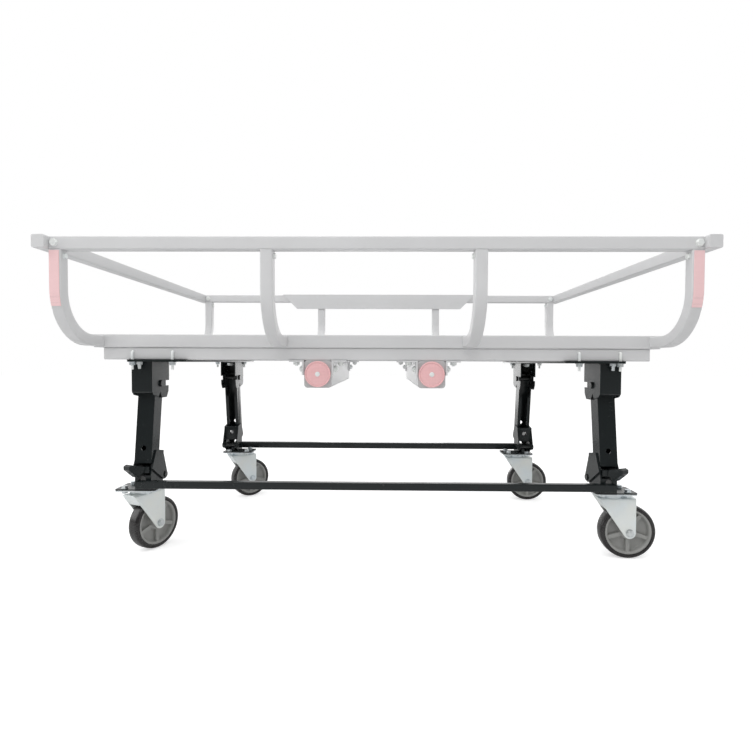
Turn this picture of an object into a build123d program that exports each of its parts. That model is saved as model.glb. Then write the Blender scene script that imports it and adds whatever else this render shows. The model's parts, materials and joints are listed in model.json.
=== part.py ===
from build123d import *
import math
import os

# A wheeled basket carrier: an open tube basket on two square slide tubes,
# carried by four folding legs that end in hinged feet and swivel casters.
# Millimetres. X runs along the long side, Y across (near is -Y), Z up.
# The origin is on the floor, under the middle of the carrier.

# Basket
rail_top = 708.0  # top of the upper rails above the floor
rail = 26.0  # section of the upper rails
rail_wall = 2.0
edge_round = 3.0  # outer corner radius of all rolled tubes
side_rail_outer = 670.0  # outer face of the side rails, from the middle
long_rail_outer = 446.0  # outer face of the long rails, from the middle
side_rail_overhang = 14.0  # side rails run on past the long rails
end_cap_lip = 2.0
end_cap_plug = 12.0
cap_clear = 0.2
post = 25.0  # section of the J-shaped posts
post_wall = 2.0
post_overhang = 3.0  # corner posts reach this far under the side rails
mid_post_x = 212.5
post_bend = 97.0  # centreline radius of the bend at the foot of a post
floor_top = 522.0
floor_beam = 30.0
floor_beam_outer = 294.0  # outer face of the long floor beams
floor_wall = 2.5
slat = 20.0
slat_count = 11
slat_pitch = 105.0
lower_beam = 28.0
lower_beam_outer = 290.0
lower_beam_half = 625.5
panel_top_half = 355.0
panel_bottom_half = 302.0
panel_height = 53.0
panel_rise = 2.0  # the panel stands this far over its rail
panel_thick = 3.0

# Slide tubes, for hitch arms
slide_tube = 63.5
slide_wall = 5.0
slide_round = 8.0
slide_x = 130.5
slide_half = 287.0
hitch_bore = 16.0
hitch_bore_inset = 45.0  # from the open end
cap_thick = 3.0
reflector_inset = 1.75  # round reflector inside the edge of its tube
reflector_thick = 7.0
angle_leg = 34.0
angle_thick = 4.0
angle_width = 40.0
strip_width = 20.0
strip_top = 680.0
strip_wrap = math.radians(18.0)  # how far the strip follows the bend of the post
strip_thick = 1.5

# Mount plates under the lower beams
mount_inner = 432.0
mount_outer = 568.0
mount_half = 303.0
mount_thick = 5.0
hook_rod = 6.0  # hook bolts, with their own nuts
bolt_d = 8.0
plate_bolt_y = 294.0  # bolt under the plate in front of each near bracket
plate_bolt_stub = 10.0
hook_places = (465.0, 558.0)
hook_tip_drop = 9.0  # hook tip below the top of the lower beam
nut_af = 13.0
nut_h = 6.5

# Folding legs
near_leg_x = 541.0
far_leg_x = 490.0
pin_y = 238.0  # leg hinge, from the middle
pin_z = 407.0
pin_d = 12.0
fit = 0.05  # radial fit of every pin in its bore
lean = math.radians(8.0)
bracket_w = 48.0
bracket_t = 3.0
web_reach = 46.0  # bracket web beyond the hinge
open_reach = 46.0  # bracket side plates inboard of the hinge
bracket_web_drop = 26.0  # web reaches this far under the hinge
bracket_side_drop = 35.0
notch_h = 13.0
notch_depth = 19.0
leg_gap = 1.0  # leg to bracket, each side
leg_depth = 38.4
leg_wall = 3.0
leg_over_pin = 20.0
leg_end_lift = 63.0  # end of the leg above the caster flange
leg_hole_d = 12.0
leg_hole_lift = 95.0
stop_gap = 0.3
stop_thick = 8.0
stop_drop = 14.0  # clears the leg's top as it turns
knuckle_t = 3.5
back_drop = 17.0  # inboard plate of the knuckle ends this far over the foot hinge
back_hole_d = 14.0
pivot_y = 216.0  # foot hinge, from the middle
pivot_lift = 23.0  # foot hinge above the caster flange
pivot_d = 10.0
pivot_boss = 11.0

# Feet, cross rails and pedals
foot_gap = 0.8  # foot to knuckle plate, each side
foot_wall = 3.0
foot_outer = 283.0
foot_depth = 48.0
foot_top_gap = 4.0  # leg end to foot
foot_front_lift = 34.0
foot_hole_d = 14.0
foot_hole_lift = 25.0
flange_lift = 32.0  # top of the flange above the wheels
flange_t = 3.0
flange_x = 97.0
flange_y = 64.0
near_cross_rail = 17.0  # section of the cross rails
far_cross_rail = 20.0
cross_wall = 1.5
near_cross_rail_lift = 7.0  # cross rail above the caster flange
far_cross_rail_lift = 2.0
cross_rail_over = 10.0
pedal_gap = 0.7
pedal_pin_y = 268.0
pedal_pin_lift = 46.0
pedal_pin_d = 6.0
pedal_reach = 37.0  # tongue beyond the foot
pedal_tongue_w = 18.5
pedal_tongue_out = 5.0  # tongue's root from the middle of the foot
pedal_turn = math.radians(25.0)  # tongue turned outboard

# Casters
kingpin_y = 248.0
near_kingpin_out = 21.0  # kingpin beyond the leg, near pair
far_kingpin_out = -22.0
wheel_r = 63.5
wheel_w = 32.0
trail = 36.0
tyre_thick = 10.5
axle_d = 10.0
plate_t = 3.0
bolt_x = 58.0  # caster bolt pattern
bolt_y = 44.0
race_r = 26.0
race_h = 8.0
race_gap = 0.3
crown_t = 3.0
kingpin_d = 12.0
fork_t = 3.0
fork_gap = 3.0  # tyre to fork, each side
fork_boss = 14.0
fork_front = 37.0  # crown ahead of the kingpin
hub_boss_r = 15.0
hub_side_gap = 0.8
spokes = 5
yaws = {"near_left": 65.0, "near_right": -3.0, "far_left": 38.0, "far_right": -2.0}

# Worked-out places
rail_mid = rail_top - rail / 2
rail_bottom = rail_top - rail
side_rail_inner = side_rail_outer - rail
side_rail_half = long_rail_outer + side_rail_overhang
corner_post_x = side_rail_inner + post_overhang - post / 2
post_y = long_rail_outer - post / 2
floor_mid = floor_top - floor_beam / 2
floor_half = side_rail_inner + post_overhang
lower_top = floor_top - floor_beam
lower_bottom = lower_top - lower_beam
mount_bottom = lower_bottom - mount_thick
flange_top = 2 * wheel_r + flange_lift
pivot_z = flange_top + pivot_lift
leg_end_z = flange_top + leg_end_lift
leg_hole_z = flange_top + leg_hole_lift
foot_front_top = flange_top + foot_front_lift
foot_hole_z = flange_top + foot_hole_lift
pedal_pin_z = flange_top + pedal_pin_lift
leg_w = bracket_w - 2 * bracket_t - 2 * leg_gap
reflector_r = slide_tube / 2 - reflector_inset
foot_w = leg_w - 2 * foot_gap
foot_inner_y = foot_outer - foot_depth
foot_top = leg_end_z - foot_top_gap
plate_bottom = flange_top - flange_t - plate_t
crown_top = plate_bottom - race_h - race_gap
fork_w = wheel_w + 2 * fork_gap + 2 * fork_t
hub_r = wheel_r - tyre_thick

os.makedirs("parts", exist_ok=True)


def save(built, name):
    """Label one finished piece and write its STEP file."""
    built.part.label = name
    export_step(built.part, f"parts/{name}.step")


def tube(start, along, across, length, width, height, wall, radius=edge_round):
    """A hollow rolled tube from start, along a direction; across is its width's direction."""
    with BuildSketch(Plane(origin=start, x_dir=across, z_dir=along)) as section:
        RectangleRounded(width, height, radius)
        inner = max(radius - wall, 0.5)
        RectangleRounded(width - 2 * wall, height - 2 * wall, inner, mode=Mode.SUBTRACT)
    extrude(section.sketch, amount=length)


def slab(points, x, thick):
    """A plate of a Y-Z outline, from x, thick towards +X."""
    with BuildSketch(Plane.YZ.offset(x)) as outline:
        with BuildLine():
            Polyline(*points, close=True)
        make_face()
    extrude(outline.sketch, amount=thick)


def rod(start, along, diameter, length, mode=Mode.ADD):
    """A round bar, or a bore, from start along a direction."""
    with BuildSketch(Plane(origin=start, z_dir=along)) as section:
        Circle(diameter / 2)
    extrude(section.sketch, amount=length, mode=mode)


def hexagon(start, along, flats, height):
    """A hexagon head or nut."""
    with BuildSketch(Plane(origin=start, z_dir=along)) as section:
        RegularPolygon(flats / 2, 6, major_radius=False)
    extrude(section.sketch, amount=height)


def bolt(seat, inward, diameter, grip, flats, head, nut=0.0):
    """A hex bolt seated at seat; with a nut where its grip ends."""
    outward = Vector(*inward) * -1
    hexagon(seat, outward, flats, head)
    rod(seat, inward, diameter, grip + (nut + 1 if nut else 0))
    if nut:
        hexagon(Vector(*seat) + Vector(*inward) * grip, inward, flats, nut)


def leg_point(side, down, out):
    """Y and Z of a point down the leg's line from its hinge and out from that line."""
    y = pin_y + down * math.sin(lean) + out * math.cos(lean)
    z = pin_z - down * math.cos(lean) + out * math.sin(lean)
    return (side * y, z)


# Upper rails
rail_bolt_z = rail_top - 13.0
rail_bolt_d = 8.0
for name, side in (("near_top_rail", -1), ("far_top_rail", 1)):
    with BuildPart() as top_rail:
        tube((-side_rail_inner, side * (long_rail_outer - rail / 2), rail_mid), (1, 0, 0), (0, 1, 0),
             2 * side_rail_inner, rail, rail, rail_wall)
        for x in (-corner_post_x, corner_post_x):
            rod((x, side * (long_rail_outer + 1), rail_bolt_z), (0, -side, 0), rail_bolt_d + 2 * fit,
                rail + 2, Mode.SUBTRACT)
    save(top_rail, name)

for name, side in (("left_side_rail", -1), ("right_side_rail", 1)):
    with BuildPart() as side_rail:
        tube((side * (side_rail_outer - rail / 2), -side_rail_half, rail_mid), (0, 1, 0), (1, 0, 0),
             2 * side_rail_half, rail, rail, rail_wall)
    save(side_rail, name)

with BuildPart() as rail_end_caps:
    for x in (-1, 1):
        for y in (-1, 1):
            seat = (x * (side_rail_outer - rail / 2), y * side_rail_half, rail_mid)
            with BuildSketch(Plane(origin=seat, x_dir=(1, 0, 0), z_dir=(0, y, 0))):
                RectangleRounded(rail, rail, edge_round)
            extrude(amount=end_cap_lip)
            plug = rail - 2 * rail_wall - 2 * cap_clear
            with BuildSketch(Plane(origin=seat, x_dir=(1, 0, 0), z_dir=(0, -y, 0))):
                RectangleRounded(plug, plug, edge_round - rail_wall)
            extrude(amount=end_cap_plug)
save(rail_end_caps, "rail_end_caps")

# Corner bolts through the long rails, and cross bolts at the tops of all posts
post_bolt_d = 6.0
post_bolt_drop = 11.0
with BuildPart() as rail_bolts:
    for side in (-1, 1):
        for x in (-corner_post_x, corner_post_x):
            bolt((x, side * long_rail_outer, rail_bolt_z), (0, -side, 0), rail_bolt_d, rail, nut_af, 5, 5)
save(rail_bolts, "rail_bolts")

with BuildPart() as post_bolts:
    for side in (-1, 1):
        for x in (-corner_post_x, -mid_post_x, mid_post_x, corner_post_x):
            inward = -1 if x > 0 else 1
            seat = (x + inward * post / 2, side * post_y, rail_bottom - post_bolt_drop)
            bolt(seat, (-inward, 0, 0), post_bolt_d, post, 10, 4)
save(post_bolts, "post_bolts")

# J-shaped posts: straight down from the rail, bent in, and on to the floor beam
for name, side, x_half in (
    ("near_corner_posts", -1, corner_post_x),
    ("near_mid_posts", -1, mid_post_x),
    ("far_corner_posts", 1, corner_post_x),
    ("far_mid_posts", 1, mid_post_x),
):
    with BuildPart() as posts:
        for x in (-x_half, x_half):
            with BuildLine(Plane.YZ.offset(x)) as route:
                FilletPolyline(
                    (side * post_y, rail_bottom),
                    (side * post_y, floor_mid),
                    (side * floor_beam_outer, floor_mid),
                    radius=post_bend,
                )
            with BuildSketch(Plane(origin=(x, side * post_y, rail_bottom), x_dir=(1, 0, 0), z_dir=(0, 0, -1))):
                RectangleRounded(post, post, edge_round)
                bore = post - 2 * post_wall
                RectangleRounded(bore, bore, edge_round - post_wall, mode=Mode.SUBTRACT)
            sweep()
            rod((x - post, side * post_y, rail_bottom - post_bolt_drop), (1, 0, 0), post_bolt_d + 2 * fit,
                2 * post, Mode.SUBTRACT)
    save(posts, name)

# Pressed panel on the inside of the far rail
with BuildPart() as far_rail_panel:
    face_y = long_rail_outer - rail - panel_thick
    with BuildSketch(Plane(origin=(0, face_y, rail_top + panel_rise), x_dir=(1, 0, 0), z_dir=(0, 1, 0))):
        with BuildLine():
            Polyline(
                (-panel_top_half, 0),
                (panel_top_half, 0),
                (panel_bottom_half, panel_height),
                (-panel_bottom_half, panel_height),
                close=True,
            )
        make_face()
    extrude(amount=panel_thick)
save(far_rail_panel, "far_rail_panel")

# Floor: long beams, end beams and slats
for name, side in (("near_floor_beam", -1), ("far_floor_beam", 1)):
    with BuildPart() as floor_beam_part:
        tube((-floor_half, side * (floor_beam_outer - floor_beam / 2), floor_mid), (1, 0, 0), (0, 1, 0),
             2 * floor_half, floor_beam, floor_beam, floor_wall)
    save(floor_beam_part, name)

floor_clear_half = floor_beam_outer - floor_beam
with BuildPart() as floor_end_beams:
    for side in (-1, 1):
        tube((side * (floor_half - floor_beam / 2), -floor_clear_half, floor_mid), (0, 1, 0), (1, 0, 0),
             2 * floor_clear_half, floor_beam, floor_beam, floor_wall)
save(floor_end_beams, "floor_end_beams")

with BuildPart() as deck_slats:
    for i in range(slat_count):
        x = (i - (slat_count - 1) / 2) * slat_pitch
        tube((x, -floor_clear_half, floor_top - slat / 2), (0, 1, 0), (1, 0, 0),
             2 * floor_clear_half, slat, slat, rail_wall)
save(deck_slats, "deck_slats")

# Lower beams, with a slot in the face for each hook bolt
hook_tip_z = lower_top - hook_tip_drop
hook_tip_in = 9.0
for name, side in (("near_lower_beam", -1), ("far_lower_beam", 1)):
    with BuildPart() as lower_beam_part:
        tube((-lower_beam_half, side * (lower_beam_outer - lower_beam / 2), lower_top - lower_beam / 2),
             (1, 0, 0), (0, 1, 0), 2 * lower_beam_half, lower_beam, lower_beam, floor_wall)
        for x_sign in (-1, 1):
            for place in hook_places:
                rod((x_sign * place, side * (lower_beam_outer + 1), hook_tip_z), (0, -side, 0),
                    hook_rod + 2 * fit, floor_wall + 3, Mode.SUBTRACT)
    save(lower_beam_part, name)

# Slide tubes, open at the far end, with an upright bore for a hitch pin
slide_top = lower_bottom
slide_mid = slide_top - slide_tube / 2
for name, side in (("left_slide_tube", -1), ("right_slide_tube", 1)):
    with BuildPart() as slide:
        tube((side * slide_x, -slide_half, slide_mid), (0, 1, 0), (1, 0, 0),
             2 * slide_half, slide_tube, slide_tube, slide_wall, slide_round)
        rod((side * slide_x, slide_half - hitch_bore_inset, slide_top + 1), (0, 0, -1), hitch_bore,
            slide_tube + 2, Mode.SUBTRACT)
    save(slide, name)

with BuildPart() as slide_tube_caps:
    for side in (-1, 1):
        seat = (side * slide_x, -slide_half, slide_mid)
        with BuildSketch(Plane(origin=seat, x_dir=(1, 0, 0), z_dir=(0, -1, 0))):
            RectangleRounded(slide_tube, slide_tube, slide_round)
        extrude(amount=cap_thick)
        plug = slide_tube - 2 * slide_wall - 2 * cap_clear
        with BuildSketch(Plane(origin=seat, x_dir=(1, 0, 0), z_dir=(0, 1, 0))):
            RectangleRounded(plug, plug, slide_round - slide_wall)
        extrude(amount=end_cap_plug)
        rod((side * slide_x, -slide_half - cap_thick - 1, slide_mid), (0, 1, 0), post_bolt_d + 2 * fit,
            cap_thick + end_cap_plug + 2, Mode.SUBTRACT)
save(slide_tube_caps, "slide_tube_caps")

with BuildPart() as round_reflectors:
    for side in (-1, 1):
        seat = (side * slide_x, -slide_half - cap_thick, slide_mid)
        with BuildSketch(Plane(origin=seat, z_dir=(0, -1, 0))):
            Circle(reflector_r)
            Circle(post_bolt_d / 2 + fit, mode=Mode.SUBTRACT)
        extrude(amount=reflector_thick)
save(round_reflectors, "round_reflectors")

with BuildPart() as reflector_screws:
    for side in (-1, 1):
        seat = (side * slide_x, -slide_half - cap_thick - reflector_thick, slide_mid)
        rod(seat, (0, -1, 0), 11, 2.5)
        rod(seat, (0, 1, 0), post_bolt_d, reflector_thick + cap_thick + end_cap_plug)
save(reflector_screws, "reflector_screws")

bend_y = post_y - post_bend
bend_z = floor_mid + post_bend
with BuildPart() as reflector_strips:
    face_r = post_bend + post / 2
    skin_r = face_r + strip_thick
    turns = [(r * math.cos(a), r * math.sin(a)) for r in (face_r, skin_r) for a in (0, strip_wrap / 2, strip_wrap)]
    low_in, mid_in, top_in, top_out, mid_out, low_out = [
        (-bend_y - turns[i][0], bend_z - turns[i][1]) for i in (2, 1, 0, 3, 4, 5)
    ]
    for x in (-corner_post_x, corner_post_x):
        with BuildSketch(Plane.YZ.offset(x - strip_width / 2)):
            with BuildLine():
                ThreePointArc(low_in, mid_in, top_in)
                Polyline(top_in, (top_in[0], strip_top), (top_out[0], strip_top), top_out)
                ThreePointArc(top_out, mid_out, low_out)
                Line(low_out, low_in)
            make_face()
        extrude(amount=strip_width)
save(reflector_strips, "reflector_strips")

# Angle brackets that hang each slide tube from both lower beams
angle_y = lower_beam_outer - lower_beam / 2
angle_hole_out = angle_leg / 2 + 3
with BuildPart() as tube_angle_brackets:
    for tube_side in (-1, 1):
        for y in (-angle_y, angle_y):
            for flank in (-1, 1):
                x0 = tube_side * slide_x + flank * slide_tube / 2
                with BuildSketch(Plane(origin=(x0, y - angle_width / 2, slide_top), x_dir=(1, 0, 0),
                                       z_dir=(0, 1, 0))):
                    with BuildLine():
                        Polyline(
                            (0, 0),
                            (flank * angle_leg, 0),
                            (flank * angle_leg, angle_thick),
                            (flank * angle_thick, angle_thick),
                            (flank * angle_thick, angle_leg),
                            (0, angle_leg),
                            close=True,
                        )
                    make_face()
                extrude(amount=angle_width)
save(tube_angle_brackets, "tube_angle_brackets")

# Mount plates, hooked to both lower beams
hook_y = lower_beam_outer + hook_rod / 2 + 0.5
with BuildPart() as mount_plates:
    for side in (-1, 1):
        mid = side * (mount_inner + mount_outer) / 2
        with BuildSketch(Plane.XY.offset(mount_bottom)):
            with Locations((mid, 0)):
                RectangleRounded(mount_outer - mount_inner, 2 * mount_half, 6)
            with Locations(*[(side * p, y) for p in hook_places for y in (-hook_y, hook_y)]):
                Circle(hook_rod / 2 + fit, mode=Mode.SUBTRACT)
        extrude(amount=mount_thick)
save(mount_plates, "mount_plates")

hook_tail = 18.0
with BuildPart() as hook_bolts:
    for x_sign in (-1, 1):
        for place in hook_places:
            for side in (-1, 1):
                x = x_sign * place
                low = mount_bottom - hook_tail
                with BuildLine(Plane.YZ.offset(x)):
                    FilletPolyline(
                        (side * hook_y, low),
                        (side * hook_y, hook_tip_z),
                        (side * (lower_beam_outer - hook_tip_in), hook_tip_z),
                        radius=hook_rod / 2 + 0.4,
                    )
                with BuildSketch(Plane(origin=(x, side * hook_y, low), z_dir=(0, 0, 1))):
                    Circle(hook_rod / 2)
                sweep()
save(hook_bolts, "hook_bolts")

with BuildPart() as hook_nuts:
    for x_sign in (-1, 1):
        for place in hook_places:
            for side in (-1, 1):
                at = (x_sign * place, side * hook_y)
                with BuildSketch(Plane.XY.offset(mount_bottom - 1.6)):
                    with Locations(at):
                        Circle(nut_af * 0.68)
                        Circle(hook_rod / 2 + fit, mode=Mode.SUBTRACT)
                extrude(amount=1.6)
                with BuildSketch(Plane.XY.offset(mount_bottom - 1.6 - nut_h)):
                    with Locations(at):
                        RegularPolygon(nut_af / 2, 6, major_radius=False)
                        Circle(hook_rod / 2 + fit, mode=Mode.SUBTRACT)
                extrude(amount=nut_h)
save(hook_nuts, "hook_nuts")

# Leg brackets: bent channels with the web outboard, open inboard and below
web_y = pin_y + web_reach
open_y = pin_y - open_reach
side_low = pin_z - bracket_side_drop
web_low = pin_z - bracket_web_drop
for name, side, leg_x in (("near_leg_brackets", -1, near_leg_x), ("far_leg_brackets", 1, far_leg_x)):
    with BuildPart() as brackets:
        for x in (-leg_x, leg_x):
            left = x - bracket_w / 2
            outline = [
                (side * web_y, mount_bottom),
                (side * web_y, web_low + 8),
                (side * (web_y - 8), web_low),
                (side * (pin_y + 12), side_low + 4),
                (side * (pin_y + 4), side_low + 15),
                (side * (pin_y - 5), side_low),
                (side * (open_y + 14), side_low),
                (side * (open_y + 4), side_low + 14),
                (side * (open_y + 3), pin_z - notch_h / 2),
                (side * (open_y + notch_depth), pin_z - notch_h / 2),
                (side * (open_y + notch_depth), pin_z + notch_h / 2),
                (side * open_y, pin_z + notch_h / 2),
                (side * open_y, mount_bottom),
            ]
            for x0 in (left, left + bracket_w - bracket_t):
                slab(outline, x0, bracket_t)
            web = [
                (side * web_y, mount_bottom),
                (side * web_y, web_low + 8),
                (side * (web_y - bracket_t), web_low + 5),
                (side * (web_y - bracket_t), mount_bottom),
            ]
            slab(web, left, bracket_w)
            top = [
                (side * web_y, mount_bottom),
                (side * web_y, mount_bottom - bracket_t),
                (side * open_y, mount_bottom - bracket_t),
                (side * open_y, mount_bottom),
            ]
            slab(top, left, bracket_w)
            # stop bar that the standing leg leans on
            near_face = leg_depth / 2 + stop_gap
            stop = [
                leg_point(side, stop_drop, near_face),
                leg_point(side, stop_drop + 14, near_face),
                leg_point(side, stop_drop + 14, near_face + stop_thick),
                leg_point(side, stop_drop, near_face + stop_thick),
            ]
            slab(stop, left, bracket_w)
            rod((left - 1, side * pin_y, pin_z), (1, 0, 0), pin_d + 2 * fit, bracket_w + 2, Mode.SUBTRACT)
    save(brackets, name)

with BuildPart() as bracket_bolts:
    for side, leg_x in ((-1, near_leg_x), (1, far_leg_x)):
        for x in (-leg_x, leg_x):
            for y in (open_y + 12, open_y + 34):
                hexagon((x, side * y, mount_bottom - bracket_t), (0, 0, -1), nut_af, nut_h)
                rod((x, side * y, mount_bottom - bracket_t - nut_h), (0, 0, -1), bolt_d, 3)
    for x in (-near_leg_x, near_leg_x):
        hexagon((x, -plate_bolt_y, mount_bottom), (0, 0, -1), nut_af, nut_h)
        rod((x, -plate_bolt_y, mount_bottom - nut_h), (0, 0, -1), bolt_d, plate_bolt_stub)
    for tube_side in (-1, 1):
        for y in (-angle_y, angle_y):
            for flank in (-1, 1):
                x0 = tube_side * slide_x + flank * slide_tube / 2
                hexagon((x0 + flank * angle_hole_out, y, slide_top - angle_thick), (0, 0, -1), nut_af, nut_h)
                rod((x0 + flank * angle_hole_out, y, slide_top - angle_thick - nut_h), (0, 0, -1), bolt_d, 3)
                hexagon((x0 + flank * angle_thick, y, slide_top - angle_hole_out), (flank, 0, 0), nut_af, nut_h)
save(bracket_bolts, "bracket_bolts")

pin_head = 4.0
with BuildPart() as leg_hinge_pins:
    for side, leg_x in ((-1, near_leg_x), (1, far_leg_x)):
        for x in (-leg_x, leg_x):
            half = bracket_w / 2
            rod((x - half, side * pin_y, pin_z), (1, 0, 0), pin_d, bracket_w)
            for end in (-1, 1):
                rod((x + end * half, side * pin_y, pin_z), (end, 0, 0), pin_d + 4, pin_head)
save(leg_hinge_pins, "leg_hinge_pins")

# Legs: leaning channels, web outboard, with a knuckle welded round the lower end
half_depth = leg_depth / 2
leg_len = (pin_z - leg_end_z) / math.cos(lean)
for name, side, leg_x in (("near_legs", -1, near_leg_x), ("far_legs", 1, far_leg_x)):
    with BuildPart() as legs:
        for x in (-leg_x, leg_x):
            left = x - leg_w / 2
            lean_end = half_depth * math.tan(lean)
            body = [
                leg_point(side, -leg_over_pin, half_depth - 8),
                leg_point(side, -leg_over_pin + 8, half_depth),
                leg_point(side, leg_len + lean_end, half_depth),
                leg_point(side, leg_len - lean_end, -half_depth),
                leg_point(side, -leg_over_pin + 8, -half_depth),
                leg_point(side, -leg_over_pin, 8 - half_depth),
            ]
            for x0 in (left, left + leg_w - leg_wall):
                slab(body, x0, leg_wall)
            web = [
                leg_point(side, -leg_over_pin + 8, half_depth),
                leg_point(side, leg_len + lean_end, half_depth),
                leg_point(side, leg_len + lean_end * (1 - leg_wall / half_depth), half_depth - leg_wall),
                leg_point(side, -leg_over_pin + 8, half_depth - leg_wall),
            ]
            slab(web, left, leg_w)
            lip = [
                leg_point(side, 60, -half_depth),
                leg_point(side, leg_len - lean_end, -half_depth),
                leg_point(side, leg_len - lean_end, leg_wall - half_depth),
                leg_point(side, 60, leg_wall - half_depth),
            ]
            for x0 in (left, left + leg_w - 10):
                slab(lip, x0, 10)
            knuckle = [
                (side * (foot_outer - 20), leg_end_z + 28),
                (side * (pivot_y + 12), leg_end_z + 22),
                (side * (pivot_y - pivot_boss + 1), pivot_z + 4),
                (side * (pivot_y - pivot_boss + 4), pivot_z - 8),
                (side * (pivot_y + 2), pivot_z - pivot_boss),
                (side * (pivot_y + 9), pivot_z - pivot_boss + 1),
                (side * (foot_outer + 2), leg_end_z - 12),
            ]
            for x0 in (left - knuckle_t, left + leg_w):
                slab(knuckle, x0, knuckle_t)
            back_y = pivot_y + 9
            back = [
                (side * back_y, leg_end_z + 21),
                (side * (back_y + 3), leg_end_z + 22),
                (side * (back_y + 3), pivot_z + back_drop),
                (side * back_y, pivot_z + back_drop),
            ]
            slab(back, left - knuckle_t, leg_w + 2 * knuckle_t)
            rod((x, side * (back_y - 1), leg_end_z + 2), (0, side, 0), back_hole_d, 5, Mode.SUBTRACT)
            rod((left - 1, side * pin_y, pin_z), (1, 0, 0), pin_d + 2 * fit, leg_w + 2, Mode.SUBTRACT)
            rod((left - knuckle_t - 1, side * pivot_y, pivot_z), (1, 0, 0), pivot_d + 2 * fit,
                leg_w + 2 * knuckle_t + 2, Mode.SUBTRACT)
            hole_down = (pin_z - leg_hole_z) / math.cos(lean)
            hole_y, hole_z = leg_point(side, hole_down, half_depth + 2)
            rod((x, hole_y, hole_z), (0, -side * math.cos(lean), -math.sin(lean)), leg_hole_d, 12,
                Mode.SUBTRACT)
    save(legs, name)

for name, side, leg_x in (("near_foot_pins", -1, near_leg_x), ("far_foot_pins", 1, far_leg_x)):
    with BuildPart() as foot_pins:
        for x in (-leg_x, leg_x):
            half = leg_w / 2 + knuckle_t
            rod((x - half, side * pivot_y, pivot_z), (1, 0, 0), pivot_d, 2 * half)
            for end in (-1, 1):
                rod((x + end * half, side * pivot_y, pivot_z), (end, 0, 0), pivot_d + 5, 2.5)
    save(foot_pins, name)

# Feet: short channels on a flange, hinged at the knuckle, pair joined by a cross rail
for name, side, leg_x, out in (
    ("near_feet", -1, near_leg_x, near_kingpin_out),
    ("far_feet", 1, far_leg_x, far_kingpin_out),
):
    with BuildPart() as feet:
        for x_sign in (-1, 1):
            x = x_sign * leg_x
            left = x - foot_w / 2
            cheek = [
                (side * foot_outer, flange_top),
                (side * foot_outer, foot_front_top),
                (side * (foot_outer - 6), foot_top),
                (side * (foot_inner_y + 6), foot_top),
                (side * (foot_inner_y + 4), pivot_z + 20),
                (side * (pivot_y + 2), pivot_z + pivot_boss),
                (side * (pivot_y - 7), pivot_z + 8),
                (side * (pivot_y - pivot_boss + 1), pivot_z),
                (side * (pivot_y - 7), pivot_z - 8),
                (side * (pivot_y + 2), pivot_z - pivot_boss),
                (side * foot_inner_y, flange_top),
            ]
            for x0 in (left, left + foot_w - foot_wall):
                slab(cheek, x0, foot_wall)
            front = [
                (side * foot_outer, flange_top),
                (side * foot_outer, foot_front_top),
                (side * (foot_outer - foot_wall), foot_front_top),
                (side * (foot_outer - foot_wall), flange_top),
            ]
            slab(front, left, foot_w)
            rod((x, side * (foot_outer + 1), foot_hole_z), (0, -side, 0), foot_hole_d, foot_wall + 2,
                Mode.SUBTRACT)
            king_x = x_sign * (leg_x + out)
            with BuildSketch(Plane.XY.offset(flange_top - flange_t)):
                with Locations((x, side * (foot_outer - foot_depth / 2))):
                    Rectangle(foot_w, foot_depth)
                with Locations((king_x, side * kingpin_y)):
                    RectangleRounded(flange_x, flange_y, 5)
                    with GridLocations(bolt_x, bolt_y, 2, 2):
                        Circle(bolt_d / 2 + fit, mode=Mode.SUBTRACT)
            extrude(amount=flange_t)
            rod((left - 1, side * pivot_y, pivot_z), (1, 0, 0), pivot_d + 2 * fit, foot_w + 2, Mode.SUBTRACT)
            rod((left - 1, side * pedal_pin_y, pedal_pin_z), (1, 0, 0), pedal_pin_d + 2 * fit, foot_w + 2,
                Mode.SUBTRACT)
    save(feet, name)

for name, side, leg_x, section, lift in (
    ("near_cross_rail", -1, near_leg_x, near_cross_rail, near_cross_rail_lift),
    ("far_cross_rail", 1, far_leg_x, far_cross_rail, far_cross_rail_lift),
):
    with BuildPart() as cross:
        half = leg_x + cross_rail_over
        z = flange_top + lift + section / 2
        tube((-half, side * (foot_outer + section / 2), z), (1, 0, 0), (0, 1, 0),
             2 * half, section, section, cross_wall, 2.0)
    save(cross, name)

# Release pedals: trunnions in the foot, with a tongue that sticks out to be stepped on
pedal_w = foot_w - 2 * foot_wall - 2 * pedal_gap
for pair, side, leg_x in (("near", -1, near_leg_x), ("far", 1, far_leg_x)):
    for flank, x_sign in (("left", -1), ("right", 1)):
        with BuildPart() as pedal:
            x = x_sign * leg_x
            body = [
                (side * (pedal_pin_y - 7), pedal_pin_z - 5),
                (side * (pedal_pin_y + 8), pedal_pin_z - 6),
                (side * (foot_outer + 2), pedal_pin_z - 6),
                (side * (foot_outer + 2), pedal_pin_z + 8),
                (side * (pedal_pin_y - 2), pedal_pin_z + 8),
                (side * (pedal_pin_y - 7), pedal_pin_z + 4),
            ]
            slab(body, x - pedal_w / 2, pedal_w)
            ahead = (x_sign * math.sin(pedal_turn), side * math.cos(pedal_turn), 0)
            root = (x + x_sign * pedal_tongue_out, side * (foot_outer + 2), pedal_pin_z)
            with BuildSketch(Plane(origin=root, x_dir=ahead, z_dir=(ahead[1], -ahead[0], 0))) as tongue:
                with BuildLine():
                    Polyline((-5, -6), (4, -6), (9, -13), (14, -13), (pedal_reach, 8),
                             (pedal_reach, 16), (pedal_reach - 7, 19), (-5, 8), close=True)
                make_face()
            extrude(tongue.sketch, amount=pedal_tongue_w / 2, both=True)
            reach = foot_w / 2
            rod((x - reach, side * pedal_pin_y, pedal_pin_z), (1, 0, 0), pedal_pin_d, 2 * reach)
        save(pedal, f"{pair}_{flank}_pedal")

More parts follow.
